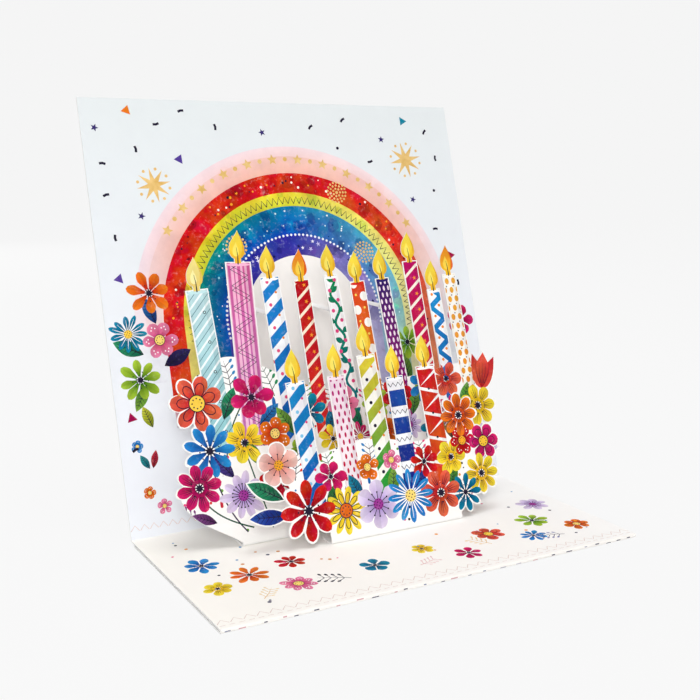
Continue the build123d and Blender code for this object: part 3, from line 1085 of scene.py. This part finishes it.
# Pen work on the bands: peaks, dots, outlined stars, a ring of white dots and small stars
for k in range(-2, 63):
    degrees = k * 3.0
    peak = [on_arch(38.2, degrees - 1.5), on_arch(40.6, degrees), on_arch(38.2, degrees + 1.5)]
    panel.pen(peak, 0.26)
scatter = random.Random(21)
for k in range(60):
    x, v = on_arch(scatter.uniform(43.2, 47.6), scatter.uniform(-6, 186))
    size = scatter.uniform(0.2, 0.5)
    panel.add(dot(x, v, size), scatter.choice((INK, "#fff3e6", "#7c0d16", "#f7a52c")), 0.1)
for degrees in (28, 52, 84, 112, 147):
    outline = star(*on_arch(45.2, degrees), 2.0, 1.0, 3, degrees)
    panel.pen(outline + outline[:1], 0.24, "#f6d9b0")
for k in range(-2, 64):
    panel.add(dot(*on_arch(27.8, k * 3.0), 0.42), "#f4f6fb", 0.1)
for k in range(70):
    x, v = on_arch(scatter.uniform(29.2, 36.4), scatter.uniform(-4, 184))
    size = scatter.uniform(0.16, 0.36)
    panel.add(dot(x, v, size, 7), scatter.choice(("#cfeef2", "#8fd0dc", "#f2f7fb", "#0c2c5c")), 0.1)
for k in range(26):
    x, v = on_arch(scatter.uniform(22.4, 26.4), scatter.uniform(0, 180))
    size = scatter.uniform(0.6, 1.0)
    ink = scatter.choice(("#f3f0ff", "#1a174f", "#c9c4f0"))
    panel.add(star(x, v, size, 0.3, 5, scatter.uniform(0, 70)), ink, 0.1)


# Gold: stars and dots along the outer band, two starbursts, and rings of dots on the bands
def gild(points):
    panel.add(points, WHITE, foil=True)


STARBURSTS = ((-46.0, 106.0, 5.6), (47.0, 114.0, 6.4))
for k in range(23):
    degrees = 35 + 5 * k
    x, v = on_arch(53.2, degrees)
    gild(dot(x, v, 0.75, 14) if k % 2 else star(x, v, 1.9, 0.85, 5, degrees))
for x, v, size in STARBURSTS:
    gild(star(x, v, size, 0.34 * size, 8, 11.0))
    for k in range(8):
        gild(dot(*polar(x, v, 0.92 * size, 33.5 + 45 * k), 0.5, 10))
for x, v in (on_arch(32.6, 131), on_arch(45.3, 67), on_arch(32.6, 40)):
    gild(dot(x, v, 0.55, 9))
    for ring, count in ((1.3, 7), (2.4, 12), (3.4, 17)):
        for k in range(count):
            gild(dot(*polar(x, v, ring, 360 * k / count), 0.4))

draw_each(draw_leaf, panel, (
    (-56, 54, 10, 4.6, 64, "fern"),
    (-51, 63, 9, 4, 20, "denim"),
    (-50, 50, 10, 4.4, -64, "night"),
    (-56, 45, 9, 3.6, 150, "grass"),
    (-56, 32, 7, 3.2, 20, "olive"),
    (-58.5, 20, 5, 2.2, 30, "lagoon"),
    (-57.5, 20, 5.5, 2.2, -16, "rust"),
    (36, 36, 12, 4.6, 10, "grass"),
    (57, 62, 9, 3.6, -20, "grape"),
))
draw_each(draw_flower, panel, (
    (-52, 72.5, 7, 7, 14, "orange", "daisy"),
    (-60, 60.5, 6, 11, 0, "teal", "rays"),
    (-50.5, 58, 5.8, 6, 0, "pink", "dotted"),
    (-58, 46.5, 6.8, 8, 10, "green", "daisy"),
    (-59.5, 13, 2.2, 5, 0, "orange", "dotted"),
    (-55.5, 8.5, 2.4, 5, 20, "pink", "dotted"),
    (-61.5, 27, 2, 5, 0, "blue", "dotted"),
    (37, 50, 6.4, 8, 0, "green", "daisy"),
    (60, 56, 5.6, 5, 0, "magenta", "daisy"),
    (-30, 44, 5, 6, 0, "coral", "daisy"),
))

# Confetti outside the rainbow, clear of the starbursts, the flowers and its own kind
CONFETTI_GAP = 9.4
taken = [(-46.0, 106.0, 9.5), (47.0, 114.0, 10.5), (-52.0, 72.5, 9.0), (-60.0, 60.0, 8.0), (-58.0, 47.0, 9.0)]
places = len(taken) + 31
scatter = random.Random(3)
tries = 0
while len(taken) < places and tries < 4000:
    tries += 1
    x, v = scatter.uniform(-63, 63), scatter.uniform(24, 130)
    inside = math.hypot(x, v - ARCH_V) < 60 if v > ARCH_V else abs(x) < 58
    if inside or any(math.hypot(x - a, v - b) < r for a, b, r in taken):
        continue
    taken.append((x, v, CONFETTI_GAP))
    kind = scatter.random()
    turn = scatter.uniform(0, 360)
    bright = scatter.choice((CRIMSON, "#ee7a1f", "#12849c", "#a30a4a", "#5a3f98"))
    if kind < 0.46:
        bend = [(0.0, -1.0), (0.22, 0.0), (0.0, 1.0)]
        panel.pen(turned(bend, x, v, turn), 0.78)
    elif kind < 0.68:
        panel.add(star(x, v, 1.8, 0.9, 3, turn), bright, 0.6)
    elif kind < 0.86:
        panel.add(dot(x, v, 0.55, 10), INK, 0.1)
    else:
        panel.add(star(x, v, 1.3, 0.55, 5, turn), "#3a2f6c", 0.1)
draw_border(panel, 46, 2.9, 0.5, 1.3, 2.6, 4.2, 0.2, "#e4cdc8")

# Base: flowers strewn over pale card, with a stitched border along its front edge
BASE_FLOWERS = (
    (-56, 6, 4.8, 7, 0, "blue", "daisy"),
    (-47, -6, 5, 8, 0, "orange", "daisy"),
    (-58, -10.5, 4, 6, 10, "yellow", "veined"),
    (-33, -3, 4.2, 7, 0, "red", "daisy"),
    (-38, -17.5, 4.6, 8, 15, "pink", "dotted"),
    (-14, -16.5, 4, 5, 0, "teal", "daisy"),
    (4, -12.5, 3.4, 6, 0, "yellow", "veined"),
    (14, -21.5, 3.8, 6, 0, "magenta", "daisy"),
    (28, -12, 4.6, 6, 20, "coral", "double"),
    (39, -19.5, 3.8, 8, 0, "blue", "daisy"),
    (47, -9, 5, 7, 0, "green", "daisy"),
    (57, -18, 4, 6, 0, "orange", "double"),
    (57, 3, 5, 7, 0, "lilac", "stamens"),
)
# Flowers on the base are drawn larger than in the table by this factor
BASE_SCALE = 1.12

base = Sheet()
for x, y, radius, petals, turn, inks, style in BASE_FLOWERS:
    draw_flower(base, x, y, BASE_SCALE * radius, petals, turn, inks, style)
draw_each(draw_sprig, base, (
    (-24, -21, 9, 62, INK, INK),
    (-50, -22, 7, -40, SAND, "#f2dcae"),
    (24, -19, 7.5, 30, SAND, "#f2d49a"),
    (-3, -22.5, 7, -72, "#e2b4b4", "#f0d0d0"),
    (48, -23, 8, 74, SLATE, "#8b8fb6"),
))
scatter = random.Random(17)
for k in range(46):
    x, y = scatter.uniform(-63, 63), scatter.uniform(-25, 30)
    size = scatter.uniform(0.3, 0.6)
    base.add(dot(x, y, size), scatter.choice((ROSE, AMBER, SKY, INK, "#d99a5a", SLATE)), 0.2)
draw_border(base, 38, 3.5, 0.55, 1.6, FRONT_Y + 3.0, FRONT_Y + 5.0, 0.24, STITCH)
for k in range(52):
    x = -HALF + 2.56 * (k + 0.5)
    base.add(strip(x - 0.75, x + 0.75, FRONT_Y + 1.8, FRONT_Y + 2.0), STITCH)

# Front fold: ten strips of paper bend round the edge, and the print of the outside runs over it in dashes
FOLD_STRIPS = 10
FOLD_CLEARANCE = 0.002
arc_length = math.pi * FOLD_R
fold = Sheet()
for k in range(FOLD_STRIPS):
    fold.add(strip(-HALF, HALF, arc_length * k / FOLD_STRIPS, arc_length * (k + 1) / FOLD_STRIPS), EDGE, 0.05)
scatter = random.Random(9)
x = -HALF + 1.0
while x < HALF - 3:
    width = scatter.uniform(0.8, 2.4)
    low = scatter.uniform(0.5, 1.0)
    ink = scatter.choice((SLATE, "#8b8fa6", "#b9b6c4", "#d8a8ae"))
    fold.add(strip(x, x + width, low, low + 0.32), ink, 0.2)
    x += width + scatter.uniform(1.4, 5.2)


def on_fold(x, t):
    """Place of a point on the round front edge, a hair inside the CAD model's box."""
    a = t / FOLD_R - math.pi / 2
    return x, FRONT_Y + FOLD_R - (FOLD_R - FOLD_CLEARANCE) * math.cos(a), FOLD_R + FOLD_R * math.sin(a)


def faces_up(centre, direction):
    return direction.z > 0.999 and abs(centre.z - BASE_TOP) < 0.02


def faces_fold(centre, direction):
    y, z = centre.y - FRONT_Y - FOLD_R, centre.z - FOLD_R
    return y < -0.005 and abs(math.hypot(y, z) - FOLD_R) < 0.06


def faces_printed(centre, direction):
    return any(test(centre, direction) for test in (faces_front(0.0), faces_up, faces_fold))


panel_faces, _ = faces_of("card_cover", faces_front(0.0))
base_faces, _ = faces_of("card_cover", faces_up)
_, plain_faces = faces_of("card_cover", faces_printed)
# The panel's ground darkens from its middle towards its top edge: painted shade.
panel_ground_painted_shade = line_wash(PANEL, "#e2e7e8", (0, 40), (0, 130))
# The base's cream ground turns whiter towards the right: painted light.
base_ground_painted_light = line_wash("#fffcf5", "#fffefc", (-HALF, 0), (HALF, 0))
base_loops = loops_of(base_faces, lambda p: (p[0], p[1]))
fold_loop = strip(-HALF, HALF, 0.0, arc_length)
cover = printed_faces(panel, loops_of(panel_faces, from_sheet(0.0)), on_sheet(0.0), panel_ground_painted_shade)
cover += printed_faces(base, base_loops, lambda x, y: (x, y, BASE_TOP), base_ground_painted_light)
cover += printed_faces(fold, [fold_loop], on_fold, EDGE)
make_piece("printed_cover", "card_cover", cover, plain_faces, card_inks)

for name in ("rear_link_left", "rear_link_middle", "rear_link_right", "front_link_left", "front_link_right"):
    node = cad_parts[name]
    node.data.materials.clear()
    node.data.materials.append(card_inks[2])

# Floor and backdrop in one sweep, in metres
FLOOR_FRONT = -4.0
FLOOR_BACK = 2.2
SWEEP_RADIUS = 1.2
WALL_TOP = 5.0
SWEEP_HALF = 6.0
SWEEP_STEPS = 12


def sweep():
    profile = [(FLOOR_FRONT, 0.0), (FLOOR_BACK, 0.0)]
    for k in range(1, SWEEP_STEPS + 1):
        a = math.pi / 2 * k / SWEEP_STEPS
        profile.append((FLOOR_BACK + SWEEP_RADIUS * math.sin(a), SWEEP_RADIUS - SWEEP_RADIUS * math.cos(a)))
    profile.append((FLOOR_BACK + SWEEP_RADIUS, WALL_TOP))
    verts, faces = [], []
    for y, z in profile:
        verts += [(-SWEEP_HALF, y, z), (SWEEP_HALF, y, z)]
    for k in range(len(profile) - 1):
        faces.append((2 * k, 2 * k + 1, 2 * k + 3, 2 * k + 2))
    mesh = bpy.data.meshes.new("backdrop")
    mesh.from_pydata(verts, [], faces)
    for face in mesh.polygons:
        face.use_smooth = True
    return bpy.data.objects.new("backdrop", mesh)


def pale_floor():
    """Matt floor that takes the object's shadow, and glows almost white where the camera sees it."""
    material, graph, shader = new_material("pale_floor")
    shader["Base Color"].default_value = (0.88, 0.88, 0.88, 1.0)
    shader["Roughness"].default_value = 0.9
    shader["Specular IOR Level"].default_value = 0.1
    glow = graph.add("Emission", {"Color": (0.945, 0.945, 0.945, 1.0)}).outputs["Emission"]
    surface = graph.nodes["Principled BSDF"].outputs["BSDF"]
    graph.show("Material Output", graph.maths("MULTIPLY", graph.seen(), 0.95), surface, glow)
    return material


backdrop = sweep()
bpy.context.scene.collection.objects.link(backdrop)
backdrop.data.materials.append(pale_floor())

# Light
world = bpy.data.worlds.new("studio")
bpy.context.scene.world = world
world.use_nodes = True
sky = Graph(world.node_tree)
lit = sky.nodes["Background"]
lit.inputs["Color"].default_value = (1.0, 1.0, 1.0, 1.0)
lit.inputs["Strength"].default_value = 0.34
shown = sky.add("Background", {"Color": (0.93, 0.93, 0.93, 1.0)})
sky.show("World Output", sky.seen(), lit.outputs["Background"], shown.outputs["Background"])


def area_lamp(name, place, aim, size, power):
    data = bpy.data.lights.new(name, "AREA")
    data.shape = "DISK"
    data.size = size
    data.energy = power
    lamp = bpy.data.objects.new(name, data)
    lamp.location = place
    lamp.rotation_euler = (Vector(aim) - Vector(place)).to_track_quat("-Z", "Y").to_euler()
    bpy.context.scene.collection.objects.link(lamp)


area_lamp("front", (-0.42, -0.74, 0.42), (0.0, 0.0, 0.06), 0.4, 3.6)
area_lamp("top", (0.06, -0.15, 1.0), (0.0, 0.0, 0.0), 0.7, 4.7)
area_lamp("back", (0.0, 1.0, 0.4), (0.0, 0.05, 0.06), 0.6, 2.6)

# Camera at the photograph's place
camera_data = bpy.data.cameras.new("camera")
camera_data.sensor_fit = "HORIZONTAL"
camera_data.sensor_width = 36.0
camera_data.lens = 54.35
camera_data.clip_start = 0.01
camera = bpy.data.objects.new("camera", camera_data)
camera.location = (-0.1558, -0.25194, 0.11269)
camera.rotation_euler = tuple(math.radians(a) for a in (79.41, -0.232, -29.532))
bpy.context.scene.collection.objects.link(camera)
bpy.context.scene.camera = camera
bpy.context.scene.view_settings.view_transform = "Standard"
